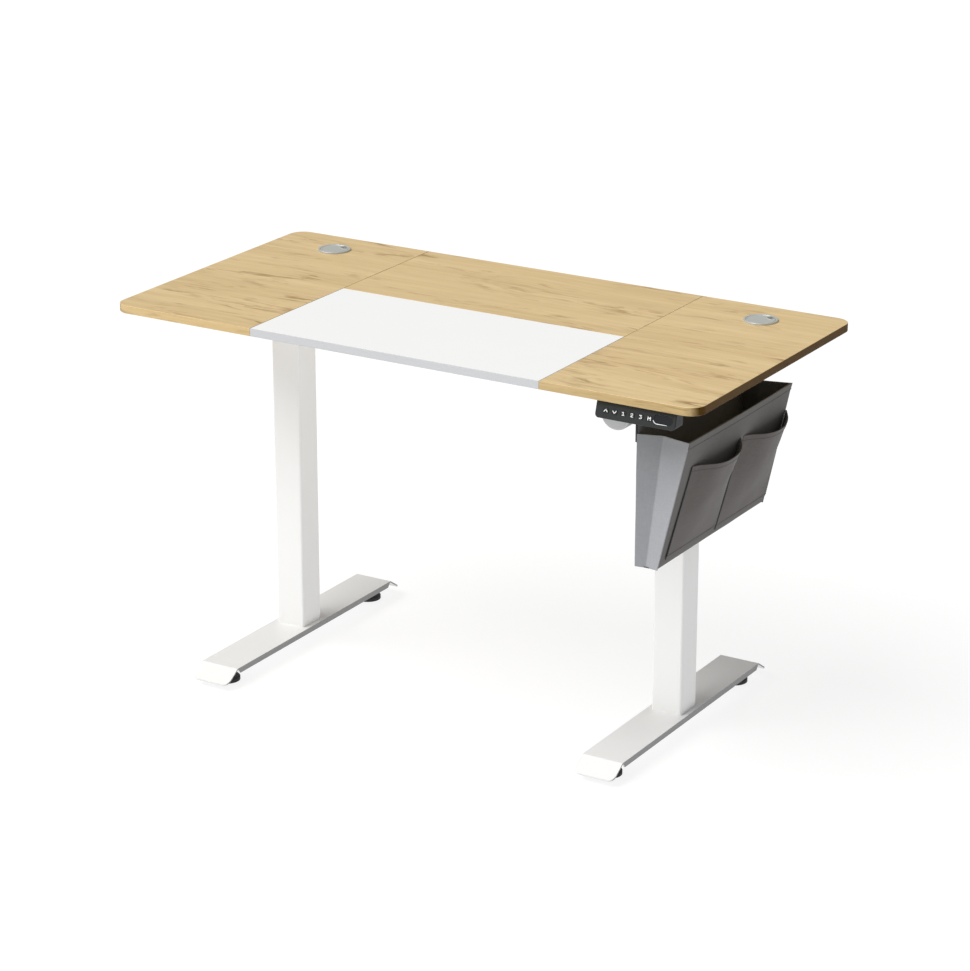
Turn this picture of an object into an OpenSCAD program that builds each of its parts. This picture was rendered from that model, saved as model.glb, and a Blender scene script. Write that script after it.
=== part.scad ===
// Height adjustable standing desk: four-panel top on two lifting columns, one motor
// and a cross rod under the top, a handset at the front edge and a side organiser bag.
// Millimetres. X runs along the desk, Y to its back, Z up. The origin is on the floor
// under the middle of the top, and the desk is at its lowest height.

/* [Top] */
// Width of the whole top
top_w = 1200; // [1000:10:1500]
// Depth of the whole top
top_d = 600; // [500:10:750]
// Thickness of the boards
board_t = 15; // [12:1:25]
// Radius of the top's four corners
corner_r = 30; // [5:1:60]
// Width of each oak side panel
side_panel_w = 303; // [220:1:360]
// Depth of the white front panel
front_panel_d = 300; // [200:5:360]
// Gap between neighbouring panels
panel_gap = 0.4; // [0.2:0.1:1.5]

/* [Lift] */
// Height of the top surface at the lowest position
rest_h = 720; // [640:5:800]
// Lift travel
travel = 480; // [300:5:480]
// Distance from the top's end to a column's centre line
leg_inset = 190; // [160:5:230]
// Outside width of the outer column
column_w = 60; // [54:1:72]
// Wall of both columns
column_wall = 2; // [1.5:0.1:3]
// Space between the inner and the outer column, filled by plastic sleeves
sleeve_t = 2; // [1.5:0.1:3]
// Running gap of the sleeves
slide_gap = 0.3; // [0.2:0.05:0.6]
// Outside radius of the columns' corners
column_r = 4; // [2.5:0.5:8]
// Radius of the lead screw
screw_r = 7; // [5:0.5:9]
// Outside radius of the push tube that holds the nut
push_tube_r = 12.5; // [12:0.5:16]

/* [Feet] */
// Width of a foot
foot_w = 80; // [66:1:110]
// Length of the flat stretch of a foot
foot_flat = 528; // [400:2:560]
// Length of each sloped tip
tip_run = 34; // [20:1:45]
// Height of the foot's top plate
foot_z = 36; // [30:1:50]
// Height of the tip's edge
tip_z = 14; // [8:1:20]
// Sheet thickness of a foot
foot_t = 2.5; // [2:0.1:4]
// Distance from the foot's middle to a levelling glide
glide_y = 243; // [180:1:250]
// Radius of a levelling glide
glide_r = 25; // [15:0.5:28]

/* [Drive] */
// Radius of the motor
motor_r = 29; // [26:0.5:31.5]
// Distance from the column's centre to the motor's front
motor_reach = 236; // [180:1:250]
// Width across the flats of the cross rod
rod_flats = 8; // [6:0.5:10]

/* [Handset] */
// Width of the handset
handset_w = 152; // [140:1:180]
// Height of the handset
handset_h = 30.5; // [26:0.5:40]
// Depth of the handset
handset_d = 30; // [26:1:45]
// Distance from the top's end to the handset
handset_inset = 43; // [35:1:80]
// How far the face leans back over its height
face_lean = 10; // [4:0.5:12]
// Travel of a button
button_travel = 0.8; // [0.4:0.1:1.2]

/* [Grommets] */
// Outside radius of a grommet's flange
grommet_r = 31.5; // [27:0.5:40]
// Distance from the top's end to a grommet's centre
grommet_inset = 142; // [100:1:170]
// Distance from the middle line back to a grommet's centre
grommet_y = 213; // [150:1:225]

/* [Bag] */
// Length of the bag
bag_l = 398; // [300:2:460]
// Height of the bag
bag_h = 240; // [180:2:300]
// Width of the bag's mouth
bag_mouth = 101; // [70:1:130]
// Width of the bag's bottom
bag_foot = 44; // [30:1:60]
// Thickness of the bag's walls
bag_t = 2.5; // [1.5:0.1:4]
// Distance of the bag's middle in front of the top's middle line
bag_shift = 23; // [0:1:60]
// Drop from the underside of the top to the bag's mouth
bag_drop = 76; // [50:1:110]

/* [Control box] */
// Length of the control box
box_l = 220; // [160:5:260]
// Width of the control box
box_w = 76; // [60:1:90]
// Height of the control box
box_h = 38; // [30:1:50]

/* [Hidden] */
$fn = 48;
e = 0.01;

// Heights of the stack under the top
under_z = rest_h - board_t;
plate_t = 3;
bracket_z = under_z - plate_t;
gear_h = 74;
gear_z = bracket_z - gear_h;
drive_z = gear_z + 34;
cap_t = 4;
inner_top = gear_z - cap_t;
outer_gap = 20;
outer_top = inner_top - outer_gap;
base_t = 6;
inner_bottom = foot_z + base_t + 18;

// Columns
leg_x = top_w / 2 - leg_inset;
bore_w = column_w - 2 * column_wall;
inner_w = bore_w - 2 * sleeve_t;
sleeve_h = 34;
sleeve_lip = 3;
glide_h = 26;
nut_h = 34;
nut_z = outer_top - 48;
screw_spare = 40;
screw_bottom = max(nut_z + nut_h - travel - screw_spare, foot_z + base_t + 4);
shoulder_z = inner_top - 12.5;
journal_r = 5;
run = 0.05;

// Gear housings: half sizes, the cavity inside and the bolts from the column's centre line
house_x = column_w / 2;
house_bolt_x = 20;
house_bolt_y = inner_w / 2 + 5;
house_y = house_bolt_y + 7;
cavity_x = house_x - 4;
cavity_y = 24;

// Bevel gears: the rod's wheels have a pitch cone of 60 degrees, their pinions one of 30
wheel_r = 22;
pinion_r = wheel_r * tan(30);
face_w = 7;
mesh_gap = 0.4;
tooth_cut = 0.9;
tooth_gap = 1.4;

// Side brackets
bracket_in = leg_x - 44;
bracket_out = leg_x + 28;
bracket_l = 340;
flange_l = 220;
flange_h = 57;

// Cross rails
rail_y = 80;
rail_w = 40;
rail_h = 20;
rail_wall = 1.5;

// Cables
cable_r = 3;
cable_z = under_z - rail_h - cable_r - 0.5;

// Motor, from the column's centre line to the front
motor_gland_y = -150;
head_end = 90;
cap_len = 14;

// Control box
box_x = 20;
box_y = rail_y + rail_w / 2 + 10;
box_z = under_z - box_h;

// Handset
handset_x = top_w / 2 - handset_inset - handset_w;
handset_z = under_z - handset_h;
lean = atan(face_lean / handset_h);
split_y = -top_d / 2 + 17;
key_pitch = 16.5;
key_x = handset_x + 20;
key_z = handset_z + 13.5;
key_w = 10.5;
key_h = 8.5;
key_gap = 0.3;
display_x = handset_x + 128;
display_w = 37;
display_h = 17;
shell_t = 2;
handset_r = 7;
handset_tab_t = 3;
key_depth = 5;

// Bag
bag_x = leg_x + column_w / 2 + 4;
bag_top = under_z - bag_drop;
bag_z = bag_top - bag_h;
bag_y0 = -bag_shift - bag_l / 2;
bag_y1 = bag_y0 + bag_l;
hanger_t = 2;
bag_slope = atan((bag_mouth - bag_foot) / bag_h);
bag_slant = bag_h / cos(bag_slope);
pocket_t = 1.5;
pocket_out = 26;
pocket_mouth = bag_slant * 0.775;
// The seam between the two pockets: its place at the foot and how far it leans back
pocket_seam = -17;
seam_lean = 20;
// A pocket's mouth, each [share of its width, share of its bulge]
bulge = [[0, 0], [0.2, 0.45], [0.46, 0.95], [0.67, 1], [0.87, 0.6], [1, 0]];

// Seams between the four panels
seam_x = top_w / 2 - side_panel_w;
seam_y = front_panel_d - top_d / 2;

// Grommets
grommet_cx = top_w / 2 - grommet_inset;
liner_r = grommet_r - 3;
liner_wall = 1.6;
liner_below = 4;
cap_gap = 0.3;
cap_r = liner_r - liner_wall - cap_gap;
cap_h = 3;
flange_up = 3.2;
slot_w = 15;
slot_d = 12;
slot_angle = 50;

// Feet
foot_l = foot_flat + 2 * tip_run;
tip_drop = foot_t / cos(atan((foot_z - tip_z) / tip_run));
foot_corner_r = 12;
foot_side_h = 11;
glide_nut_h = 12;
glide_nut_r = 7.5;
stud_r = 4;
base_bolt = 18;

// Bolts
bolt_r = 3;
bolt_hole_r = 3.2;

// Joining plates, each [x, y, 1 where it lies across a seam that runs along X]
plate_l = 60;
plate_w = 40;
joiner_t = 2;
plates = concat(
    [for (s = [-1, 1], y = [-1, 1]) [s * seam_x, y * top_d / 4, 0]],
    [for (s = [-1, 1]) [s * seam_x / 2, seam_y, 1]]);

// Wood screws from below, each [x, y, thickness of what it holds]
screw_shank = 1.8;
screw_hole = 2.1;
screw_head_r = 4;
screw_head_h = 2;
screw_bite = 11;
tab_t = 2;
plate_screws = [for (p = plates, a = [-20, 20], b = [-12, 12])
    [p[0] + (p[2] == 0 ? a : b), p[1] + (p[2] == 0 ? b : a), joiner_t]];
bracket_screws = [for (s = [-1, 1], dx = [-30, 18], y = [-150, 125, 155]) [s * (leg_x + dx), y, plate_t]];
rail_screws = [for (s = [-1, 1], x = [60, 220, leg_x - 85], y = [-rail_y, rail_y]) [s * x, y, rail_h]];
box_screws = [for (x = [box_x - 6, box_x + box_l + 6], y = [box_y + 12, box_y + box_w - 12])
    [x, y, tab_t]];
handset_screws = [for (x = [45, handset_w - 30])
    [handset_x + x, -top_d / 2 + handset_d + 6, handset_tab_t]];
hanger_screws = [for (k = [0:3]) [bag_x + 10, bag_y0 + 35 + k * (bag_l - 70) / 3, hanger_t]];
motor_run_x = leg_x - 70;
handset_run_x = leg_x - 100;
cable_high = under_z - joiner_t - screw_head_h - cable_r - 0.5;
clip_spots = [[motor_run_x, -120, cable_z], [motor_run_x, 0, cable_z],
    [handset_run_x, -200, cable_high], [handset_run_x, -40, cable_z],
    [handset_run_x, rail_y + rail_w / 2 + 18, cable_z]];
clip_screws = [for (c = clip_spots) [c[0] + 9, c[1], tab_t]];
screws = concat(plate_screws, bracket_screws, rail_screws, box_screws, handset_screws,
    hanger_screws, clip_screws);

// Dowels between panels, each [x, y, angle]
dowel_r = 4;
dowel_l = 30;
dowels = concat(
    [for (s = [-1, 1], y = [-0.4, -1 / 6, 1 / 6, 0.4]) [s * seam_x, y * top_d, 0]],
    [for (k = [-1, 0, 1]) [k * seam_x * 0.74, seam_y, 90]]);

module rounded(w, d, r) {
    union() {
        square([w - 2 * r, d], center = true);
        square([w, d - 2 * r], center = true);
        for (sx = [-1, 1], sy = [-1, 1])
            translate([sx * (w / 2 - r), sy * (d / 2 - r)]) circle(r);
    }
}

module box_at(x0, x1, y0, y1, z0, z1) {
    translate([x0, y0, z0]) cube([x1 - x0, y1 - y0, z1 - z0]);
}

module along_x(x0, x1, r, fn = 48) {
    translate([x0, 0, 0]) rotate([0, 90, 0]) cylinder(h = x1 - x0, r = r, $fn = fn);
}

module along_y(y0, y1, r) {
    translate([0, y0, 0]) rotate([-90, 0, 0]) cylinder(h = y1 - y0, r = r);
}

module square_tube(w, wall, z0, z1, r) {
    translate([0, 0, z0]) linear_extrude(z1 - z0) difference() {
        rounded(w, w, r);
        rounded(w - 2 * wall, w - 2 * wall, max(r - wall, 0.5));
    }
}

module ring(r_out, r_in, h) {
    difference() {
        cylinder(h = h, r = r_out);
        translate([0, 0, -1]) cylinder(h = h + 2, r = r_in);
    }
}

module at_house_bolts(z) {
    for (x = [-house_bolt_x, house_bolt_x], y = [-house_bolt_y, house_bolt_y])
        translate([x, y, z]) children();
}

module at_base_bolts(z) {
    for (x = [-base_bolt, base_bolt], y = [-base_bolt, base_bolt]) translate([x, y, z]) children();
}

// ---- Top ----

function inside(p, x0, x1, y0, y1) = p[0] > x0 && p[0] < x1 && p[1] > y0 && p[1] < y1;

module panel(x0, x1, y0, y1) {
    difference() {
        translate([0, 0, under_z]) linear_extrude(board_t) intersection() {
            rounded(top_w, top_d, corner_r);
            translate([x0, y0]) square([x1 - x0, y1 - y0]);
        }
        for (p = screws) if (inside(p, x0, x1, y0, y1))
            translate([p[0], p[1], under_z - e]) cylinder(h = screw_bite + 1, r = screw_hole, $fn = 16);
        for (d = dowels) if (inside(d, x0 - 1, x1 + 1, y0 - 1, y1 + 1))
            dowel(d, dowel_r + 0.1, dowel_l + 1);
        for (s = [-1, 1]) if (inside([s * grommet_cx, grommet_y], x0, x1, y0, y1))
            translate([s * grommet_cx, grommet_y, under_z - 1])
                cylinder(h = board_t + 2, r = liner_r + 0.15);
    }
}

module dowel(d, r, l) {
    translate([d[0], d[1], under_z + board_t / 2]) rotate([0, 0, d[2]]) translate([-l / 2, 0, 0])
        rotate([0, 90, 0]) cylinder(h = l, r = r, $fn = 24);
}

module panel_left() {
    color("burlywood") panel(-top_w / 2, -seam_x - panel_gap / 2, -top_d / 2, top_d / 2);
}

module panel_right() {
    color("burlywood") panel(seam_x + panel_gap / 2, top_w / 2, -top_d / 2, top_d / 2);
}

module panel_rear() {
    x = seam_x - panel_gap / 2;
    color("burlywood") panel(-x, x, seam_y + panel_gap / 2, top_d / 2);
}

module panel_front() {
    x = seam_x - panel_gap / 2;
    color("white") panel(-x, x, -top_d / 2, seam_y - panel_gap / 2);
}

module panel_dowels() {
    color("wheat") for (d = dowels) dowel(d, dowel_r, dowel_l);
}

module joining_plates() {
    color("silver") difference() {
        for (p = plates) translate([p[0], p[1], under_z - joiner_t / 2]) rotate([0, 0, p[2] * 90])
            cube([plate_l, plate_w, joiner_t], center = true);
        for (p = plate_screws) translate([p[0], p[1], under_z - joiner_t - 1])
            cylinder(h = joiner_t + 2, r = screw_hole, $fn = 16);
    }
}

module wood_screws() {
    color("dimgray") for (p = screws) translate([p[0], p[1], under_z - p[2]]) {
        translate([0, 0, -screw_head_h]) cylinder(h = screw_head_h, r = screw_head_r, $fn = 24);
        translate([0, 0, -e]) cylinder(h = p[2] + screw_bite, r = screw_shank, $fn = 16);
    }
}

// ---- Grommets ----

module grommet_liners() {
    color("silver") for (s = [-1, 1]) translate([s * grommet_cx, grommet_y, 0]) {
        translate([0, 0, rest_h]) ring(grommet_r, cap_r + cap_gap, flange_up);
        translate([0, 0, under_z - liner_below])
            ring(liner_r, liner_r - liner_wall, board_t + liner_below + e);
        translate([0, 0, rest_h - 2 * cap_h])
            ring(liner_r - liner_wall + e, liner_r - liner_wall - 2, cap_h);
    }
}

module grommet_cap(s) {
    color("silver") translate([s * grommet_cx, grommet_y, rest_h - cap_h + e]) difference() {
        cylinder(h = cap_h + flange_up, r = cap_r);
        rotate([0, 0, slot_angle]) translate([cap_r - slot_d, -slot_w / 2, -1])
            cube([slot_d + 2, slot_w, cap_h + flange_up + 2]);
        translate([0, 0, -1]) cylinder(h = cap_h + 0.5, r = cap_r - 2 - slot_d);
    }
}

module grommet_cap_left() {
    grommet_cap(-1);
}

module grommet_cap_right() {
    grommet_cap(1);
}

// ---- Frame under the top ----

module side_bracket(s) {
    color("white") scale([s, 1, 1]) difference() {
        union() {
            box_at(bracket_in, bracket_out, -bracket_l / 2, bracket_l / 2, bracket_z, under_z);
            box_at(bracket_in, bracket_in + plate_t, -flange_l / 2, flange_l / 2,
                bracket_z - flange_h, under_z);
        }
        translate([bracket_in - 1, 0, drive_z]) along_x(0, plate_t + 2, 11);
        for (y = [-rail_y, rail_y]) translate([bracket_in - 1, y, under_z - rail_h / 2])
            along_x(0, plate_t + 2, bolt_hole_r);
        for (p = bracket_screws) if (p[0] > 0)
            translate([p[0], p[1], bracket_z - 1]) cylinder(h = plate_t + 2, r = screw_hole, $fn = 16);
        translate([leg_x, 0, 0]) at_house_bolts(bracket_z - e) {
            cylinder(h = plate_t + 1, r = bolt_hole_r);
            cylinder(h = plate_t + 2 * e, r1 = bolt_hole_r, r2 = 6.4);
        }
    }
}

module side_bracket_left() {
    mirror([1, 0, 0]) side_bracket(1);
}

module side_bracket_right() {
    side_bracket(1);
}

module cross_rails() {
    color("white") for (y = [-rail_y, rail_y]) translate([0, y, under_z - rail_h / 2]) difference() {
        union() {
            difference() {
                cube([2 * bracket_in, rail_w, rail_h], center = true);
                cube([2 * bracket_in + 2, rail_w - 2 * rail_wall, rail_h - 2 * rail_wall], center = true);
            }
            for (s = [-1, 1]) translate([s * (bracket_in - 4), 0, 0])
                cube([8, rail_w - 2 * rail_wall + e, rail_h - 2 * rail_wall + e], center = true);
        }
        for (p = rail_screws) if (p[1] == y) translate([p[0], 0, -rail_h / 2 - 1])
            cylinder(h = rail_h + 2, r = screw_hole, $fn = 16);
        for (s = [-1, 1]) translate([s * (bracket_in - 4), 0, 0]) along_x(-6, 6, bolt_hole_r);
    }
}

module frame_bolts() {
    color("gray") for (s = [-1, 1]) {
        for (y = [-rail_y, rail_y]) translate([0, y, under_z - rail_h / 2]) mirror([s < 0 ? 1 : 0, 0, 0]) {
            along_x(bracket_in - 16, bracket_in + plate_t + e, bolt_r);
            along_x(bracket_in + plate_t, bracket_in + plate_t + 4, 5.5, 6);
        }
        translate([s * leg_x, 0, 0]) at_house_bolts(0) {
            translate([0, 0, bracket_z]) cylinder(h = plate_t - 0.2, r1 = bolt_r, r2 = 5.8);
            translate([0, 0, bracket_z - 14]) cylinder(h = 14 + e, r = bolt_r);
            translate([0, 0, inner_top - 4]) cylinder(h = 4, r = 4.5);
            translate([0, 0, inner_top - e]) cylinder(h = cap_t + 12, r = bolt_r);
        }
    }
}

// ---- Gear housings and columns ----

module gearbox(s) {
    color("gainsboro") translate([s * leg_x, 0, 0]) difference() {
        box_at(-house_x, house_x, -house_y, house_y, gear_z, bracket_z);
        box_at(-cavity_x, cavity_x, -cavity_y, cavity_y, gear_z - 1, bracket_z - 4);
        translate([0, 0, drive_z]) along_x(-house_x - 1, house_x + 1, 8);
        at_house_bolts(bracket_z - 15) cylinder(h = 16, r = bolt_hole_r);
        at_house_bolts(gear_z - 1) cylinder(h = 14, r = bolt_hole_r);
        if (s > 0) translate([0, 0, drive_z]) along_y(-house_y - 1, -cavity_y + 1, 14);
    }
}

module gearbox_left() {
    gearbox(-1);
}

module gearbox_right() {
    gearbox(1);
}

module inner_column(s) {
    color("white") translate([s * leg_x, 0, 0]) {
        square_tube(inner_w, column_wall, inner_bottom, inner_top + e, column_r - 1);
        difference() {
            box_at(-house_x, house_x, -house_y, house_y, inner_top, gear_z);
            translate([0, 0, inner_top - 1]) cylinder(h = cap_t + 2, r = 11);
            at_house_bolts(inner_top - 1) cylinder(h = cap_t + 2, r = bolt_hole_r);
        }
        translate([0, 0, shoulder_z - 1]) ring(17, 14.02, inner_top - shoulder_z + 1 + e);
    }
}

module inner_column_left() {
    inner_column(-1);
}

module inner_column_right() {
    inner_column(1);
}

module outer_column(s) {
    color("white") translate([s * leg_x, 0, 0]) {
        square_tube(column_w, column_wall, foot_z, outer_top, column_r);
        difference() {
            translate([0, 0, foot_z + base_t / 2])
                cube([bore_w + 2 * e, bore_w + 2 * e, base_t], center = true);
            at_base_bolts(foot_z - 1) cylinder(h = base_t + 2, r = bolt_hole_r);
        }
    }
}

module outer_column_left() {
    outer_column(-1);
}

module outer_column_right() {
    outer_column(1);
}

module column_sleeves() {
    color("whitesmoke") for (s = [-1, 1]) translate([s * leg_x, 0, 0]) {
        square_tube(bore_w, sleeve_t - slide_gap, outer_top - sleeve_h, outer_top + e,
            column_r - column_wall);
        square_tube(column_w, column_wall + sleeve_t - slide_gap, outer_top, outer_top + sleeve_lip,
            column_r);
    }
}

module column_glides() {
    color("ivory") for (s = [-1, 1]) translate([s * leg_x, 0, 0])
        square_tube(bore_w - 2 * slide_gap, sleeve_t - slide_gap, inner_bottom, inner_bottom + glide_h,
            column_r - column_wall);
}

module push_tubes() {
    color("silver") for (s = [-1, 1]) translate([s * leg_x, 0, foot_z + base_t])
        ring(push_tube_r, push_tube_r - 2, nut_z - foot_z - base_t);
}

module lead_nuts() {
    color("goldenrod") for (s = [-1, 1]) translate([s * leg_x, 0, 0]) {
        translate([0, 0, nut_z]) ring(push_tube_r + 1.5, screw_r + run, nut_h);
        translate([0, 0, nut_z - 16]) ring(push_tube_r - 2.05, screw_r + run, 16 + e);
    }
}

// Bevel gear with its apex at the origin, on the +Z side of it
module bevel(r, half, teeth, hub_r, hub_h) {
    a0 = r / tan(half);
    a1 = a0 - face_w * cos(half);
    r1 = a1 * tan(half);
    slant = r / sin(half);
    translate([0, 0, mesh_gap]) difference() {
        union() {
            translate([0, 0, a1]) cylinder(h = a0 - a1, r1 = r1, r2 = r);
            translate([0, 0, a0 - e]) cylinder(h = hub_h, r = hub_r);
        }
        for (k = [0:teeth - 1]) rotate([0, 0, k * 360 / teeth]) rotate([0, half, 0])
            translate([-tooth_cut, -tooth_gap / 2, slant - face_w - 3]) cube([3, tooth_gap, face_w + 6]);
        translate([0, 0, -1]) cylinder(h = a0 + hub_h + 2, r = journal_r);
    }
}

module lead_screw(s) {
    color("silver") translate([s * leg_x, 0, 0]) {
        translate([0, 0, screw_bottom]) cylinder(h = shoulder_z - screw_bottom, r = screw_r);
        translate([0, 0, shoulder_z - e]) cylinder(h = drive_z - 16 - shoulder_z, r = journal_r);
        translate([0, 0, drive_z]) mirror([0, 0, 1]) bevel(pinion_r, 30, 15, 10, 6);
    }
}

module lead_screw_left() {
    lead_screw(-1);
}

module lead_screw_right() {
    lead_screw(1);
}

module shaft_bearings() {
    color("darkgray") {
        for (s = [-1, 1]) translate([s * leg_x, 0, 0]) {
            translate([0, 0, shoulder_z + 0.3]) ring(14, journal_r + run, 9);
            for (x = [-house_x - 2, house_x - 6]) translate([x, 0, drive_z])
                rotate([0, 90, 0]) ring(8, journal_r + run, 8);
        }
        translate([leg_x, -house_y + 9, drive_z]) rotate([90, 0, 0]) ring(14, journal_r + run, 8);
        translate([leg_x, -motor_reach + 22, drive_z]) rotate([90, 0, 0]) ring(14, journal_r + run, 8);
    }
}

module drive_rod() {
    color("silver") translate([0, 0, drive_z]) {
        along_x(-leg_x + house_x + 6, leg_x - house_x - 6, rod_flats / sqrt(3), 6);
        along_x(-leg_x - house_x + 1, -leg_x + house_x + 7, journal_r);
        along_x(leg_x - house_x - 7, leg_x + house_x - 1, journal_r);
    }
}

module rod_gears() {
    color("silver") for (s = [-1, 1]) translate([s * leg_x, 0, drive_z])
        rotate([0, -90, 0]) bevel(wheel_r, 60, 26, 14, 7);
}

// ---- Motor ----

module motor_can() {
    color("silver") translate([leg_x, 0, drive_z]) difference() {
        union() {
            along_y(-motor_reach + cap_len, -head_end, motor_r);
            translate([0, motor_gland_y, cable_z - drive_z]) along_x(-motor_r - 5, -motor_r + 14, 5);
        }
        along_y(-motor_reach + cap_len - 1, -head_end + 1, motor_r - 2.5);
        translate([0, motor_gland_y, cable_z - drive_z]) along_x(-motor_r - 6, 0, cable_r + 0.1);
    }
}

module motor_end_cap() {
    color("lightgray") translate([leg_x, -motor_reach, drive_z]) rotate([-90, 0, 0]) difference() {
        rotate_extrude() union() {
            translate([0, 4]) square([motor_r, 10]);
            square([motor_r - 4, 8]);
            translate([motor_r - 4, 4]) circle(4);
        }
        translate([0, 0, 6]) cylinder(h = 9, r = motor_r - 8);
    }
}

module motor_gear_head() {
    color("gray") translate([leg_x, 0, drive_z]) difference() {
        union() {
            along_y(-head_end, -house_y - 6, motor_r);
            box_at(-28, 28, -house_y - 6, -house_y, -28, 28);
        }
        along_y(-head_end - 1, -house_y + 1, 12);
        along_y(-head_end - 1, -60, motor_r - 6);
    }
}

module motor_shaft() {
    color("silver") translate([leg_x, 0, drive_z]) {
        along_y(-motor_reach + 9, -16.5, journal_r);
        rotate([90, 0, 0]) bevel(pinion_r, 30, 15, 9, 6);
        difference() {
            along_y(-motor_reach + 40, -110, motor_r - 8);
            along_y(-motor_reach + 39, -109, journal_r);
            for (a = [0:30:330]) rotate([0, a, 0])
                translate([motor_r - 13, -motor_reach + 39, -1]) cube([6, motor_reach - 148, 2]);
        }
    }
}

// ---- Control box and cables ----

module control_box() {
    color("dimgray") difference() {
        union() {
            box_at(box_x, box_x + box_l, box_y, box_y + box_w, box_z, under_z);
            for (x = [box_x - 13, box_x + box_l])
                box_at(x, x + 13, box_y + 4, box_y + box_w - 4, under_z - tab_t, under_z);
        }
        box_at(box_x + 2, box_x + box_l - 2, box_y + 2, box_y + box_w - 2, box_z + 2, under_z + 1);
        for (p = box_screws) translate([p[0], p[1], under_z - 3]) cylinder(h = 4, r = screw_hole, $fn = 16);
        box_at(box_x - 1, box_x + 3, box_y + 24, box_y + 52, box_z + 6, box_z + 27);
        for (y = [25, 40]) translate([box_x + box_l, box_y + y, cable_z]) along_x(-3, 2, cable_r + 0.2);
        for (x = [30:12:box_l - 30])
            box_at(box_x + x, box_x + x + 5, box_y + 15, box_y + box_w - 15, box_z - 1, box_z + 3);
    }
}

module circuit_boards() {
    color("green") {
        box_at(box_x + 14, box_x + box_l - 5, box_y + 5, box_y + box_w - 5, box_z + 6, box_z + 7.6);
        box_at(box_x + 40, box_x + 75, box_y + 12, box_y + 42, box_z + 7.6, box_z + 28);
        for (k = [0:2]) translate([box_x + 95 + k * 24, box_y + 24, box_z + 7.6]) cylinder(h = 20, r = 8);
        box_at(box_x + 165, box_x + 172, box_y + 10, box_y + 60, box_z + 7.6, box_z + 26);
        on_face(handset_x + handset_w / 2, handset_z + handset_h / 2) translate([0, 0, -9])
            translate([-handset_w / 2 + 6, -9, 0]) cube([handset_w - 12, 18, 1.6]);
    }
}

module mains_inlet() {
    color("black") difference() {
        union() {
            box_at(box_x - 4, box_x + 12, box_y + 24.3, box_y + 51.7, box_z + 6.3, box_z + 26.7);
            box_at(box_x - 4, box_x - e, box_y + 21, box_y + 55, box_z + 3, box_z + 30);
        }
        box_at(box_x - 5, box_x + 9, box_y + 26.5, box_y + 49.5, box_z + 8.5, box_z + 24.5);
    }
    color("silver") for (p = [[-7, -2], [0, 3], [7, -2]])
        translate([box_x + 2, box_y + 37 + p[0], box_z + 14.5 + p[1]]) cube([7.5, 2, 4]);
}

module cable(points) {
    n = len(points);
    for (i = [0:n - 2]) {
        p = points[i];
        q = points[i + 1];
        d = q - p;
        translate(p) rotate([0, acos(d[2] / norm(d)), atan2(d[1], d[0])])
            cylinder(h = norm(d), r = cable_r, $fn = 24);
        if (i > 0) translate(p) sphere(cable_r, $fn = 24);
    }
}

module motor_cable() {
    color("black") cable([[leg_x - motor_r + 5, motor_gland_y, cable_z],
        [motor_run_x, motor_gland_y, cable_z], [motor_run_x, box_y + 40, cable_z],
        [box_x + box_l - 2, box_y + 40, cable_z]]);
}

module handset_cable() {
    y = -top_d / 2 + handset_d;
    drop_y = -rail_y - rail_w / 2 - 12;
    color("black") cable([[handset_x + 25, y - 2, cable_high], [handset_x + 25, y + 15, cable_high],
        [handset_run_x, y + 15, cable_high], [handset_run_x, drop_y, cable_high],
        [handset_run_x, drop_y, cable_z], [handset_run_x, box_y + 25, cable_z],
        [box_x + box_l - 2, box_y + 25, cable_z]]);
}

module cable_clips() {
    color("white") difference() {
        for (c = clip_spots) {
            box_at(c[0] - cable_r - 2, c[0] + cable_r + 2, c[1] - 4, c[1] + 4,
                c[2] - cable_r - 2, under_z);
            box_at(c[0], c[0] + 14, c[1] - 4, c[1] + 4, under_z - 2, under_z);
        }
        for (c = clip_spots) {
            translate([c[0], 0, c[2]]) along_y(c[1] - 5, c[1] + 5, cable_r + 0.1);
            box_at(c[0] - cable_r, c[0] + cable_r, c[1] - 5, c[1] + 5, c[2], under_z - 2.2);
        }
        for (p = clip_screws) translate([p[0], p[1], under_z - 3]) cylinder(h = 4, r = screw_hole, $fn = 16);
    }
}

// ---- Handset ----

// Places children on the leaning face: X along it, Y up it, Z out of it
module on_face(x, z) {
    translate([x, -top_d / 2 + (z - handset_z) * tan(lean), z]) rotate([90 - lean, 0, 0]) children();
}

module handset_outline(inset) {
    y0 = -top_d / 2;
    back = y0 + handset_d;
    intersection() {
        translate([handset_x + inset, 0, 0]) rotate([90, 0, 90]) linear_extrude(handset_w - 2 * inset)
            polygon([[y0 + face_lean + inset * 1.1, under_z - inset], [y0 + inset * 1.1, handset_z + inset],
                [back - inset, handset_z + inset], [back - inset, under_z - inset]]);
        translate([handset_x + handset_w / 2, y0 - 5, handset_z + handset_h - inset])
            rotate([-90, 0, 0]) linear_extrude(handset_d + 10)
                rounded(handset_w - 2 * inset, 2 * (handset_h - 2 * inset), handset_r - inset);
    }
}

module handset_shell() {
    difference() {
        handset_outline(0);
        handset_outline(shell_t);
    }
}

module keys(grow, depth) {
    for (k = [0:5]) key(k, grow, depth);
}

module key(k, grow, depth) {
    on_face(key_x + k * key_pitch, key_z) translate([0, 0, -depth]) linear_extrude(depth + button_travel)
        rounded(key_w + 2 * grow, key_h + 2 * grow, 2.2 + grow);
}

module display_shape(grow, z0, h) {
    on_face(display_x, key_z + 1.5) translate([0, 0, z0]) linear_extrude(h)
        rounded(display_w + 2 * grow, display_h + 2 * grow, display_h / 2 + grow - 0.1);
}

module handset_case() {
    color("black") difference() {
        intersection() {
            handset_shell();
            box_at(handset_x - 1, handset_x + handset_w + 1, -top_d / 2 - 1, split_y,
                handset_z - 1, under_z + 1);
        }
        keys(key_gap, key_depth + 1);
        display_shape(0.1, -4, 8);
    }
}

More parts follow.
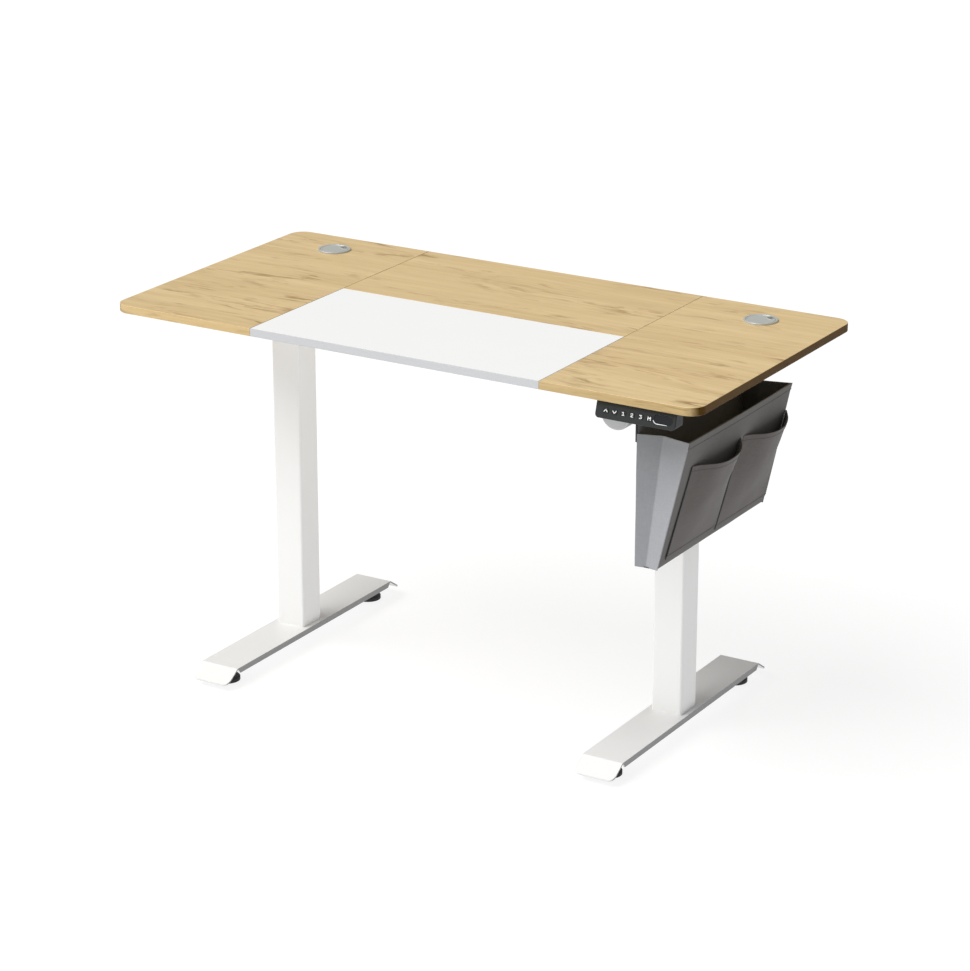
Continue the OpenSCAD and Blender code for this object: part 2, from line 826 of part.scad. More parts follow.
module handset_cover() {
    color("black") difference() {
        union() {
            intersection() {
                handset_shell();
                box_at(handset_x - 1, handset_x + handset_w + 1, split_y, 0, handset_z - 1, under_z + 1);
            }
            for (p = handset_screws)
                box_at(p[0] - 8, p[0] + 8, -top_d / 2 + handset_d - e, p[1] + 6,
                    under_z - handset_tab_t, under_z);
        }
        translate([handset_x + 25, -top_d / 2 + handset_d, cable_high]) along_y(-5, 1, cable_r + 0.2);
        for (p = handset_screws) translate([p[0], p[1], under_z - handset_tab_t - 1])
            cylinder(h = handset_tab_t + 2, r = screw_hole, $fn = 16);
    }
}

module handset_display() {
    color("darkslategray") display_shape(0, -3.2, 2.2);
}

module button_up() {
    color("black") key(0, 0, key_depth);
}

module button_down() {
    color("black") key(1, 0, key_depth);
}

module button_1() {
    color("black") key(2, 0, key_depth);
}

module button_2() {
    color("black") key(3, 0, key_depth);
}

module button_3() {
    color("black") key(4, 0, key_depth);
}

module button_memory() {
    color("black") key(5, 0, key_depth);
}

// ---- Feet ----

module foot(s) {
    h = foot_flat / 2;
    color("white") translate([s * leg_x, 0, 0]) difference() {
        union() {
            intersection() {
                foot_profile(-foot_w / 2, foot_w)
                    polygon([[-h - tip_run, tip_z], [-h, foot_z], [h, foot_z], [h + tip_run, tip_z],
                        [h + tip_run, tip_z - tip_drop], [h - 0.7, foot_z - foot_t],
                        [-h + 0.7, foot_z - foot_t], [-h - tip_run, tip_z - tip_drop]]);
                linear_extrude(foot_z + 1) rounded(foot_w, foot_l, foot_corner_r);
            }
            for (x = [-foot_w / 2, foot_w / 2 - foot_t]) foot_profile(x, foot_t)
                polygon([[-h + 0.5, foot_z - e], [h - 0.5, foot_z - e],
                    [h - 9, foot_z - foot_side_h], [-h + 9, foot_z - foot_side_h]]);
            for (y = [-glide_y, glide_y]) translate([0, y, foot_z - foot_t - glide_nut_h + e])
                cylinder(h = glide_nut_h, r = glide_nut_r, $fn = 6);
        }
        at_base_bolts(foot_z - foot_t - 1) cylinder(h = foot_t + 2, r = 3.3);
        for (y = [-glide_y, glide_y]) translate([0, y, foot_z - foot_t - glide_nut_h - 1])
            cylinder(h = glide_nut_h + 1, r = stud_r + run);
    }
}

// A shape drawn as [y, z], from x0 to x0 + w
module foot_profile(x0, w) {
    translate([x0, 0, 0]) rotate([90, 0, 90]) linear_extrude(w) children();
}

module foot_left() {
    foot(-1);
}

module foot_right() {
    foot(1);
}

module foot_bolts() {
    color("silver") for (s = [-1, 1]) translate([s * leg_x, 0, 0]) at_base_bolts(0) {
        translate([0, 0, foot_z - foot_t - 4]) cylinder(h = 4, r = 5.5, $fn = 6);
        translate([0, 0, foot_z - foot_t - e]) cylinder(h = foot_t + base_t, r = bolt_r);
    }
}

module levelling_glide(sx, sy) {
    color("black") translate([sx * leg_x, sy * glide_y, 0]) {
        cylinder(h = 6, r = glide_r);
        translate([0, 0, 6 - e]) cylinder(h = 3, r1 = glide_r, r2 = glide_r - 3);
        translate([0, 0, 9 - 2 * e]) cylinder(h = 4, r = glide_nut_r, $fn = 6);
    }
    color("silver") translate([sx * leg_x, sy * glide_y, 13 - 3 * e])
        cylinder(h = foot_z - foot_t - 13.5, r = stud_r);
}

module glide_left_front() {
    levelling_glide(-1, -1);
}

module glide_left_rear() {
    levelling_glide(-1, 1);
}

module glide_right_front() {
    levelling_glide(1, -1);
}

module glide_right_rear() {
    levelling_glide(1, 1);
}

// ---- Bag ----

// Cross-section of the bag inside a wall of thickness t, as wide as the mouth at bag_top
module bag_section(t) {
    polygon([[bag_x + t, bag_z + t], [bag_x + bag_foot - t * 0.8, bag_z + t],
        [bag_x + bag_mouth - t * 1.03, bag_top + 1], [bag_x + t, bag_top + 1]]);
}

// The section of the bag up to its mouth, from y0 to y0 + l
module bag_slice(y0, l) {
    translate([0, y0 + l, 0]) rotate([90, 0, 0]) linear_extrude(l) intersection() {
        bag_section(0);
        translate([bag_x, bag_z]) square([2 * bag_mouth, bag_h]);
    }
}

module bag_body() {
    color("gray") {
        difference() {
            bag_slice(bag_y0, bag_l);
            translate([0, bag_y1 - bag_t, 0]) rotate([90, 0, 0]) linear_extrude(bag_l - 2 * bag_t)
                bag_section(bag_t);
        }
        box_at(bag_x, bag_x + bag_t, bag_y0, bag_y1, bag_top - 1, under_z - hanger_t - 0.5);
    }
}

// Places children on the bag's outer wall: X along it, Y up its slope, Z out of it
module on_bag() {
    translate([bag_x + bag_foot, 0, bag_z]) rotate([0, bag_slope, 0]) rotate([90, 0, 90]) children();
}

// Pocket sewn to the wall at both sides and its foot, which reach from foot[0] to foot[1]
// and from mouth[0] to mouth[1] along it, and bulging out at the mouth
module pocket(foot, mouth, low) {
    on_bag() translate([0, 0, 0.4]) for (k = [0:len(bulge) - 2]) hull() for (b = [bulge[k], bulge[k + 1]]) {
        translate([foot[0] + (foot[1] - foot[0]) * b[0], low, 0]) cube([1, 1, pocket_t]);
        translate([mouth[0] + (mouth[1] - mouth[0]) * b[0], pocket_mouth - 1, pocket_out * b[1]])
            cube([1, 1, pocket_t]);
    }
}

module bag_pocket_front() {
    color("dimgray")
        pocket([bag_y0 + 22, pocket_seam - 2], [bag_y0 + 35, pocket_seam + seam_lean - 12], 18);
}

module bag_pocket_rear() {
    color("dimgray") pocket([pocket_seam, bag_y1 - 3], [pocket_seam + seam_lean, bag_y1 - 5], 16);
}

module bag_hanger() {
    color("dimgray") difference() {
        union() {
            box_at(bag_x - hanger_t, bag_x, bag_y0, bag_y1, bag_top - 15, under_z);
            box_at(bag_x - e, bag_x + 18, bag_y0, bag_y1, under_z - hanger_t, under_z);
        }
        for (p = hanger_screws) translate([p[0], p[1], under_z - hanger_t - 1])
            cylinder(h = hanger_t + 2, r = screw_hole, $fn = 16);
    }
}

module bag_rivets() {
    color("silver") for (k = [0:4])
        translate([bag_x + bag_t, bag_y0 + 20 + k * (bag_l - 40) / 4, bag_top + 30])
            rotate([0, 90, 0]) cylinder(h = 2, r1 = 5, r2 = 4, $fn = 24);
}

panel_left();
panel_right();
panel_rear();
panel_front();
panel_dowels();
joining_plates();
wood_screws();
grommet_liners();
grommet_cap_left();
grommet_cap_right();
side_bracket_left();
side_bracket_right();
cross_rails();
frame_bolts();
gearbox_left();
gearbox_right();
inner_column_left();
inner_column_right();
outer_column_left();
outer_column_right();
column_sleeves();
column_glides();
push_tubes();
lead_nuts();
lead_screw_left();
lead_screw_right();
shaft_bearings();
drive_rod();
rod_gears();
motor_can();
motor_end_cap();
motor_gear_head();
motor_shaft();
control_box();
circuit_boards();
mains_inlet();
motor_cable();
handset_cable();
cable_clips();
handset_case();
handset_cover();
handset_display();
button_up();
button_down();
button_1();
button_2();
button_3();
button_memory();
foot_left();
foot_right();
foot_bolts();
glide_left_front();
glide_left_rear();
glide_right_front();
glide_right_rear();
bag_body();
bag_pocket_front();
bag_pocket_rear();
bag_hanger();
bag_rivets();
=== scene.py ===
import math

import bpy
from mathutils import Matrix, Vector, geometry, noise


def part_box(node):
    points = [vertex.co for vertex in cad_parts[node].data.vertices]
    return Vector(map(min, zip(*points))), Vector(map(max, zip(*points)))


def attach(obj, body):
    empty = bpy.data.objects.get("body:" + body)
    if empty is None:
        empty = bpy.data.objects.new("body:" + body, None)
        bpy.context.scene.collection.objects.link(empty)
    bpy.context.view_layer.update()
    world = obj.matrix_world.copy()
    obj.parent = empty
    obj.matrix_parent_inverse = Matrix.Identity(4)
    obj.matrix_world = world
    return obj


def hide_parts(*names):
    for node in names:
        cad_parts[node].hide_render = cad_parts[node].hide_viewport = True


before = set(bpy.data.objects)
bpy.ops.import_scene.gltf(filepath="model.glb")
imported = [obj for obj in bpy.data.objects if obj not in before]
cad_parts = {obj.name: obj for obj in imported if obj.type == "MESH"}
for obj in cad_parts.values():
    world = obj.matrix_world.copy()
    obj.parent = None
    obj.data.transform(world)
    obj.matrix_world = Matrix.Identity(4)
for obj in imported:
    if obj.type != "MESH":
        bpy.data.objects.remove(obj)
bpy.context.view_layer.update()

scene = bpy.context.scene
MM = 0.001


# ---- Camera, light and floor ----

SENSOR, LENS = 36.0, 120.7
CAMERA_AT = (2.9276, -4.8271, 2.3929)
YAW, PITCH = math.radians(31.15), math.radians(19.56)
SKY, SKY_STRENGTH = (0.97, 0.985, 1.0, 1), 0.34
SUN, SUN_STRENGTH, SUN_ANGLE = (1.0, 0.99, 0.97), 2.74, math.radians(50)
SUN_ALONG = (0.30, 0.36, -0.65)

camera = bpy.data.objects.new("camera", bpy.data.cameras.new("camera"))
camera.data.sensor_width = SENSOR
camera.data.lens = LENS
camera.data.clip_end = 100
back = Vector((math.sin(YAW) * math.cos(PITCH), -math.cos(YAW) * math.cos(PITCH), math.sin(PITCH)))
camera.location = CAMERA_AT
camera.rotation_mode = "QUATERNION"
camera.rotation_quaternion = (-back).to_track_quat("-Z", "Y")
scene.collection.objects.link(camera)
scene.camera = camera

scene.view_settings.view_transform = "Standard"
world = bpy.data.worlds.new("studio")
world.use_nodes = True
sky = world.node_tree.nodes["Background"]
sky.inputs["Color"].default_value = SKY
sky.inputs["Strength"].default_value = SKY_STRENGTH
scene.world = world

key = bpy.data.objects.new("key", bpy.data.lights.new("key", "SUN"))
key.data.energy = SUN_STRENGTH
key.data.angle = SUN_ANGLE
key.data.color = SUN
key.rotation_mode = "QUATERNION"
key.rotation_quaternion = Vector(SUN_ALONG).to_track_quat("-Z", "Y")
scene.collection.objects.link(key)


# ---- Node materials ----

def material(name, rough=0.5, metal=0.0, **sockets):
    """A material with one Principled shader; returns it with its node tree and shader."""
    mat = bpy.data.materials.new(name)
    mat.use_nodes = True
    tree = mat.node_tree
    shader = tree.nodes["Principled BSDF"]
    shader.inputs["Roughness"].default_value = rough
    shader.inputs["Metallic"].default_value = metal
    for socket, value in sockets.items():
        shader.inputs[socket.replace("_", " ")].default_value = value
    return mat, tree, shader


def add(tree, kind, inputs=None, **settings):
    """Adds a node; inputs are constants or the output sockets that feed them."""
    node = tree.nodes.new("ShaderNode" + kind)
    for setting, value in settings.items():
        setattr(node, setting, value)
    for socket, value in (inputs or {}).items():
        if isinstance(value, bpy.types.NodeSocket):
            tree.links.new(value, node.inputs[socket])
        else:
            node.inputs[socket].default_value = value
    return node


def linear(r, g, b):
    """An sRGB colour of 0 to 255 as linear RGBA."""
    def one(c):
        c /= 255
        return c / 12.92 if c <= 0.04045 else ((c + 0.055) / 1.055) ** 2.4
    return (one(r), one(g), one(b), 1)


def place(tree, scale, offset=(0, 0, 0)):
    """Object coordinates, moved and scaled."""
    coords = add(tree, "TexCoord")
    return add(tree, "Mapping", {"Vector": coords.outputs["Object"], "Scale": scale,
                                 "Location": offset}).outputs["Vector"]


def fine(tree, vector, detail, rough=0.55, distort=0.0):
    """A noise pattern from 0 to 1."""
    return add(tree, "TexNoise", {"Vector": vector, "Scale": 1.0, "Detail": detail,
                                  "Roughness": rough, "Distortion": distort}).outputs["Fac"]


def spread(tree, value, low, high, to_low=0.0, to_high=1.0):
    """Maps low..high to to_low..to_high, clamped."""
    return add(tree, "MapRange", {0: value, 1: low, 2: high, 3: to_low, 4: to_high}).outputs[0]


def mix(tree, factor, a, b, blend="MIX"):
    """Mixes two colours; 0, 6 and 7 are the colour mix's factor, A and B sockets."""
    return add(tree, "Mix", {0: factor, 6: a, 7: b}, data_type="RGBA", blend_type=blend).outputs[2]


def maths(tree, operation, a, b=0.0):
    return add(tree, "Math", {0: a, 1: b}, operation=operation).outputs[0]


def bump(tree, shader, height, distance):
    node = add(tree, "Bump", {"Height": height, "Distance": distance})
    tree.links.new(node.outputs["Normal"], shader.inputs["Normal"])


def coated(name, colour, rough=0.5, metal=0.0, grain=1200.0, depth=0.00004, vary=0.06,
           stretch=(1, 1, 1), **sockets):
    """A plain finish: colour and roughness that drift a little, and a fine surface grain."""
    mat, tree, shader = material(name, rough, metal, **sockets)
    broad = fine(tree, place(tree, (9, 9, 9)), 3.0)
    small = fine(tree, place(tree, tuple(grain * s for s in stretch)), 2.0)
    dark = tuple(c * (1 - vary) for c in colour[:3]) + (1,)
    light = tuple(min(1, c * (1 + vary)) for c in colour[:3]) + (1,)
    both = maths(tree, "ADD", maths(tree, "MULTIPLY", broad, 0.65), maths(tree, "MULTIPLY", small, 0.35))
    tree.links.new(mix(tree, spread(tree, both, 0.3, 0.7), dark, light), shader.inputs["Base Color"])
    tree.links.new(spread(tree, small, 0.3, 0.7, rough * 0.88, min(1, rough * 1.12)),
                   shader.inputs["Roughness"])
    bump(tree, shader, small, depth)
    return mat


OAK_LIGHT, OAK_MID, OAK_DARK = linear(229, 202, 153), linear(211, 183, 132), linear(166, 133, 84)


def oak(name, offset, tint=1.0, gloss=0.4):
    """Oak laminate: long growth bands, a few dark figured streaks, pores and a faint relief."""
    mat, tree, shader = material(name, 0.42, Specular_IOR_Level=gloss)
    base = place(tree, (1, 1, 1), offset)
    wander = fine(tree, place(tree, (2.2, 5, 5), offset), 2.0)
    shift = add(tree, "CombineXYZ", {1: maths(tree, "MULTIPLY", wander, 0.05)}).outputs[0]
    moved = add(tree, "VectorMath", {0: base, 1: shift}, operation="ADD").outputs[0]

    def along(x, y, z=None):
        return add(tree, "VectorMath", {0: moved, 1: (x, y, y if z is None else z)},
                   operation="MULTIPLY").outputs[0]

    bands = fine(tree, along(1.5, 20), 4.0, 0.6)
    lines = fine(tree, along(4, 130), 3.0, 0.6)
    pores = fine(tree, along(24, 950), 1.0, 0.5)
    figure = fine(tree, along(3.2, 13), 3.0, 0.6, 1.4)
    ripple = fine(tree, along(8, 60), 3.0, 0.55, 1.8)
    tone = maths(tree, "ADD", maths(tree, "MULTIPLY", bands, 0.55), maths(tree, "MULTIPLY", lines, 0.45))
    colour = mix(tree, spread(tree, tone, 0.36, 0.64), OAK_MID, OAK_LIGHT)
    streak = maths(tree, "MULTIPLY", spread(tree, figure, 0.49, 0.66), spread(tree, ripple, 0.49, 0.62))
    colour = mix(tree, streak, colour, OAK_DARK)
    colour = mix(tree, spread(tree, pores, 0.60, 0.74, 0.0, 0.30), colour, OAK_DARK)
    if tint != 1.0:
        colour = mix(tree, 1.0, colour, (tint, tint * 0.99, tint * 0.97, 1), "MULTIPLY")
    tree.links.new(colour, shader.inputs["Base Color"])
    tree.links.new(spread(tree, lines, 0.3, 0.7, 0.36, 0.50), shader.inputs["Roughness"])
    bump(tree, shader, maths(tree, "ADD", maths(tree, "MULTIPLY", lines, 0.5), pores), 0.00006)
    return mat


def facing(tree, axis, low, high):
    """0 to 1 as the surface turns to face along an axis; a negative low and high take the other side."""
    normal = add(tree, "NewGeometry").outputs["Normal"]
    return spread(tree, add(tree, "SeparateXYZ", {0: normal}).outputs[axis], low, high)


def paint_shade_by_facing(mat, rules):
    """Paints shade into a finish: multiplies its colour where its surface faces (axis, low, high), for each
    rule.
    """
    tree = mat.node_tree
    shader = tree.nodes["Principled BSDF"]
    for axis, low, high, colour in rules:
        socket = shader.inputs["Base Color"]
        old = socket.links[0].from_socket
        darker = mix(tree, 1.0, old, colour, "MULTIPLY")
        tree.links.new(mix(tree, facing(tree, axis, low, high), old, darker), socket)
    return mat


def cloth(name, light, dark, weave=1500.0, depth=0.00018, sheen=0.25):
    """Woven polyester felt: slubs across and along, a fine weave and loose fibres."""
    mat, tree, shader = material(name, 0.92, Sheen_Weight=sheen, Sheen_Roughness=0.45,
                                 Specular_IOR_Level=0.2)
    across = fine(tree, place(tree, (60, 60, weave)), 2.0, 0.6)
    along = fine(tree, place(tree, (weave, weave, 60)), 2.0, 0.6)
    fibre = fine(tree, place(tree, (weave * 0.6,) * 3), 3.0, 0.7)
    cloud = fine(tree, place(tree, (14, 14, 14)), 3.0)
    slub = maths(tree, "ADD", maths(tree, "MULTIPLY", across, 0.5), maths(tree, "MULTIPLY", along, 0.5))
    mixed = maths(tree, "ADD", maths(tree, "MULTIPLY", slub, 0.7), maths(tree, "MULTIPLY", fibre, 0.3))
    colour = mix(tree, spread(tree, mixed, 0.38, 0.62), dark, light)
    colour = mix(tree, spread(tree, cloud, 0.35, 0.65, 0.0, 0.16), colour, dark)
    tree.links.new(colour, shader.inputs["Base Color"])
    bump(tree, shader, mixed, depth)
    return mat


# Coated finishes: name, sRGB, roughness, metalness, grain scale, grain depth, colour drift, and what else
FINISHES = {
    "white_board": ("white_laminate", (252, 252, 252), 0.38, 0.0, 700, 0.00002, 0.008, {}),
    "white_edge": ("white_edge_band", (203, 204, 207), 0.42, 0.0, 900, 0.00003, 0.01, {}),
    "white_steel": ("white_powder_coat", (246, 246, 245), 0.42, 0.0, 1500, 0.00006, 0.012, {}),
    "zinc_steel": ("zinc_plate", (176, 180, 184), 0.34, 1.0, 400, 0.00002, 0.14, {}),
    "dark_steel": ("blackened_steel", (70, 71, 73), 0.42, 0.9, 500, 0.00002, 0.12, {}),
    "gear_steel": ("ground_steel", (160, 163, 168), 0.28, 1.0, 600, 0.00002, 0.10, {}),
    "cast_housing": ("cast_housing", (206, 207, 206), 0.55, 0.2, 420, 0.00009, 0.05, {}),
    "motor_grey": ("motor_paint", (188, 189, 190), 0.36, 0.35, 300, 0.00003, 0.05,
                   {"stretch": (3, 0.06, 3)}),
    "nut_bronze": ("nut_bronze", (176, 132, 72), 0.38, 1.0, 500, 0.00002, 0.1, {}),
    "beech": ("beech_dowel", (214, 180, 136), 0.6, 0.0, 300, 0.00004, 0.1, {"stretch": (0.1, 1, 1)}),
    "silver_plastic": ("silver_plastic", (198, 200, 195), 0.38, 0.30, 1300, 0.00003, 0.03, {}),
    "white_plastic": ("white_plastic", (232, 232, 228), 0.4, 0.0, 900, 0.00003, 0.02, {}),
    "black_plastic": ("black_plastic", (47, 50, 49), 0.42, 0.0, 1100, 0.00008, 0.08,
                      {"Specular_IOR_Level": 0.3}),
    "key_black": ("key_black", (42, 44, 44), 0.33, 0.0, 1500, 0.00003, 0.06, {"Specular_IOR_Level": 0.35}),
    "display_window": ("display_window", (26, 29, 31), 0.1, 0.0, 80, 0.00001, 0.1,
                       {"Coat_Weight": 0.6, "Coat_Roughness": 0.05}),
    "circuit": ("circuit_board", (34, 92, 56), 0.4, 0.0, 260, 0.00008, 0.25, {}),
    "cable_black": ("cable_black", (32, 32, 33), 0.5, 0.0, 900, 0.00005, 0.08, {}),
    "rubber_black": ("rubber_black", (34, 34, 35), 0.7, 0.0, 800, 0.0001, 0.1, {}),
    "hanger": ("hanger_board", (48, 48, 49), 0.55, 0.0, 900, 0.00008, 0.08, {}),
    "icon": ("icon_print", (246, 247, 247), 0.4, 0.0, 900, 0.00001, 0.02, {}),
    # The dark thread also colours the bag's painted shadow strips
    "thread": ("dark_thread", (38, 37, 37), 0.85, 0.0, 2500, 0.0001, 0.15, {}),
    # The feet's coat is the white powder coat painted a little darker, as painted shade from the top above
    # them
    "foot_coat": ("foot_coat", (228, 228, 228), 0.45, 0.0, 1500, 0.00006, 0.012, {}),
}
# Cloths: name, light and dark threads
CLOTHS = {
    "felt_grey": ("felt_end", (177, 179, 183), (160, 162, 166)),
    # felt_side is darker than the end felt partly as its own colour, partly as painted shade for the outer
    # wall, which faces away from the light
    "felt_side": ("felt_side", (105, 103, 101), (88, 86, 84)),
    "felt_dark": ("felt_pocket", (103, 99, 97), (86, 81, 79)),
    "felt_lining": ("felt_lining", (98, 99, 101), (82, 83, 85)),
}
X = 0    # the axis that a painted-shade rule turns on


def grey(value):
    return (value, value, value, 1)


MATS = {finish: coated(name, linear(*colour), *numbers, **more)
        for finish, (name, colour, *numbers, more) in FINISHES.items()}
MATS |= {finish: cloth(name, linear(*light), linear(*dark))
         for finish, (name, light, dark) in CLOTHS.items()}
# Painted shade: the end felt is darkened to 0.8 on its left half, which turns towards +x
paint_shade_by_facing(MATS["felt_grey"], [(X, -0.05, 0.12, grey(0.80))])
# Painted shade: the feet's side faces are darkened to 0.36
paint_shade_by_facing(MATS["foot_coat"], [(X, 0.6, 0.9, grey(0.36)), (X, -0.6, -0.9, grey(0.36))])
# Painted shade: black plastic faces that turn towards +x, such as the handset's right end, are darkened to
# 0.05
paint_shade_by_facing(MATS["black_plastic"], [(X, 0.4, 0.8, grey(0.05))])


# ---- Mesh tools ----

def finish_mesh(name, verts, faces, mats, body, slot=None, stands_for=(), face_mats=None, smooth=35,
                weighted=True):
    """Makes an object from a vertex and face list, gives it its finish and puts it on its body."""
    mesh = bpy.data.meshes.new(name)
    mesh.from_pydata([tuple(v) for v in verts], [], faces)
    mesh.validate()
    for mat in mats:
        mesh.materials.append(mat)
    if face_mats:
        for poly, index in zip(mesh.polygons, face_mats):
            poly.material_index = index
    mesh.shade_smooth()
    mesh.set_sharp_from_angle(angle=math.radians(smooth))
    piece = bpy.data.objects.new(name, mesh)
    scene.collection.objects.link(piece)
    if weighted:
        piece.modifiers.new("weighted", "WEIGHTED_NORMAL").keep_sharp = True
    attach(piece, body)
    if stands_for:
        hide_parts(*stands_for)
    return piece


def rounded(points, radii, steps=8):
    """A counter-clockwise outline with its corners rounded."""
    out = []
    for i, (point, radius) in enumerate(zip(points, radii)):
        p = Vector(point)
        if radius <= 0:
            out.append(p)
            continue
        a = (Vector(points[i - 1]) - p).normalized()
        b = (Vector(points[(i + 1) % len(points)]) - p).normalized()
        half = a.angle(b) / 2
        centre = p + (a + b).normalized() * (radius / math.sin(half))
        start = p + a * (radius / math.tan(half)) - centre
        end = p + b * (radius / math.tan(half)) - centre
        a0 = math.atan2(start.y, start.x)
        turn = (math.atan2(end.y, end.x) - a0 + math.pi) % (2 * math.pi) - math.pi
        for k in range(steps + 1):
            angle = a0 + turn * k / steps
            out.append(centre + Vector((math.cos(angle), math.sin(angle))) * radius)
    return out


def box2(x0, x1, y0, y1, r=0.0, steps=6):
    return rounded([(x0, y0), (x1, y0), (x1, y1), (x0, y1)], [r] * 4, steps)


def circle(cx, cy, r, steps=64):
    return [Vector((cx + r * math.cos(2 * math.pi * k / steps), cy + r * math.sin(2 * math.pi * k / steps)))
            for k in range(steps)]


def inset(outline, d):
    """A counter-clockwise outline moved inwards by d."""
    out = []
    for i, p in enumerate(outline):
        a = (p - outline[i - 1]).normalized()
        b = (outline[(i + 1) % len(outline)] - p).normalized()
        na, nb = Vector((-a.y, a.x)), Vector((-b.y, b.x))
        out.append(p + (na + nb) * (d / max(0.3, 1 + na.dot(nb))))
    return out


BRIM_LOOPS = 4     # the edge loops at the top of a board that take the brim material, a painted highlight on the oak boards


class Shell:
    """Vertices and faces of one piece, built from rings."""

    def __init__(self):
        self.verts, self.faces, self.mats = [], [], []

    def ring(self, points):
        start = len(self.verts)
        self.verts += points
        return list(range(start, start + len(points)))

    def face(self, ids, mat=0):
        self.faces.append(ids)
        self.mats.append(mat)

    def wall(self, a, b, mat=0):
        for i in range(len(a)):
            j = (i + 1) % len(a)
            self.face([a[i], a[j], b[j], b[i]], mat)

    def cap(self, outer, holes, up, flat):
        """Fills between an outer ring and holes; flat gives the points to fill by, in 2D."""
        rings = [outer, *holes]
        ids = [i for r in rings for i in r]
        for tri in geometry.tessellate_polygon([[flat[i].to_3d() for i in r] for r in rings]):
            tri = [ids[i] for i in tri]
            a, b, c = (flat[i] for i in tri)
            area = (b.x - a.x) * (c.y - a.y) - (c.x - a.x) * (b.y - a.y)
            self.face(tri if (area > 0) == up else tri[::-1])

    def slab(self, outline, profile, lift, holes=(), pits=(), side=0, brim=None):
        """A plate from its outline (counter-clockwise, seen from the last profile height).
        profile is [(inset, height)]; lift maps (u, v, height) to a point; holes go through,
        pits are (outline, height of the floor); brim is the material of the last edge."""
        flat = {}

        def layer(points, height):
            ids = self.ring([lift(p.x, p.y, height) for p in points])
            flat.update(zip(ids, points))
            return ids

        rings = [layer(inset(outline, d), h) for d, h in profile]
        for k, (a, b) in enumerate(zip(rings, rings[1:])):
            bevelled = k > len(rings) - BRIM_LOOPS
            self.wall(a, b, brim if bevelled and brim is not None else side)
        low, high = profile[0][1], profile[-1][1]
        through, sunk = [], []
        for hole in holes:
            a, b = layer(hole, low), layer(hole, high)
            self.wall(b, a, side)
            through.append((a, b))
        for pit, floor in pits:
            a, b = layer(pit, floor), layer(pit, high)
            self.wall(b, a, side)
            self.cap(a, [], True, flat)
            sunk.append(b)
        self.cap(rings[0], [a for a, b in through], False, flat)
        self.cap(rings[-1], [b for a, b in through] + sunk, True, flat)
        return self

    def lathe(self, profile, centre, steps=72):
        """Turns a closed [(radius, height)] loop about a vertical axis."""
        loops = []
        for k in range(steps):
            c, s = math.cos(2 * math.pi * k / steps), math.sin(2 * math.pi * k / steps)
            loops.append(self.ring([(centre[0] + r * c, centre[1] + r * s, z) for r, z in profile]))
        for k in range(steps):
            self.wall(loops[k - 1], loops[k])
        return self

    def make(self, name, mats, body, **more):
        return finish_mesh(name, self.verts, self.faces, mats, body, face_mats=self.mats, **more)


def soft_edge(r, low, high, steps=3):
    """A profile with both edges rounded by r."""
    turn = [math.pi / 2 * k / steps for k in range(steps + 1)]
    start = [(r - r * math.sin(t), low + r - r * math.cos(t)) for t in turn]
    end = [(r - r * math.cos(t), high - r + r * math.sin(t)) for t in turn]
    return start + end


def upright(x, y, z):
    return (x, y, z)


# ---- Floor ----

FLOOR_HALF, FLOOR_GLOW = 30, 0.80
floor_mat, tree, shader = material("floor", 0.7, Specular_IOR_Level=0.1, Emission_Color=(1, 1, 1, 1),
                                   Emission_Strength=FLOOR_GLOW)
soft = fine(tree, place(tree, (0.6, 0.6, 0.6)), 2.0)
tree.links.new(mix(tree, soft, grey(0.22), grey(0.24)), shader.inputs["Base Color"])
mesh = bpy.data.meshes.new("floor")
mesh.from_pydata([(a * FLOOR_HALF, b * FLOOR_HALF, 0) for a, b in ((-1, -1), (1, -1), (1, 1), (-1, 1))], [],
                 [(0, 1, 2, 3)])
mesh.materials.append(floor_mat)
floor = bpy.data.objects.new("floor", mesh)
scene.collection.objects.link(floor)


# ---- Top ----

EDGE_R, CORNER = 0.0009, 0.030
# Painted shade on the oak boards' end faces, and on the brim where it meets them
END_SHADE, BRIM_END_SHADE = (0.155, 0.098, 0.008, 1), (0.50, 0.42, 0.30, 1)


def both_ways(low, high, colour):
    """Rules that paint the same shade on a board's two end faces."""
    return [(X, low, high, colour), (X, -low, -high, colour)]


# Each oak board's pattern offset, and its edge band's offset and tint
OAK = {"left": ((0.0, 0.0, 0.0), (3.3, 0.7, 1.4), 0.92), "right": ((5.3, 1.9, 0.0), (7.1, 2.2, 0.4), 0.82),
       "rear": ((2.7, 7.1, 0.0), (1.2, 4.4, 2.0), 0.95)}
# Painted shade: the oak edge bands' end faces are darkened to a dark brown
oak_edge = {s: paint_shade_by_facing(oak("oak_edge_" + s, offset, tint, 0.06), both_ways(0.45, 0.85, END_SHADE))
            for s, (_, offset, tint) in OAK.items()}
# Painted highlight: the brim is a lighter oak along the top edge's bevel; painted shade darkens it where it
# meets the end faces
oak_brim_highlight = paint_shade_by_facing(oak("oak_brim_highlight", (0.4, 2.1, 0.9), 1.08), both_ways(0.3, 0.5, BRIM_END_SHADE))


def board(name, corners, mats, holes=()):
    """A top panel; its materials are face, edge and, on oak, the brim of the top edge, a lighter oak that
    is a painted highlight.
    """
    low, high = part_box(name)
    outline = rounded([(low.x, low.y), (high.x, low.y), (high.x, high.y), (low.x, high.y)], corners, 12)
    brim = 2 if len(mats) > 2 else None
    Shell().slab(outline, soft_edge(EDGE_R, low.z, high.z), upright, holes, side=1, brim=brim).make(
        name + "_board", mats, "desk_top", stands_for=[name],
        slot="white_board" if name == "panel_front" else "oak_board")


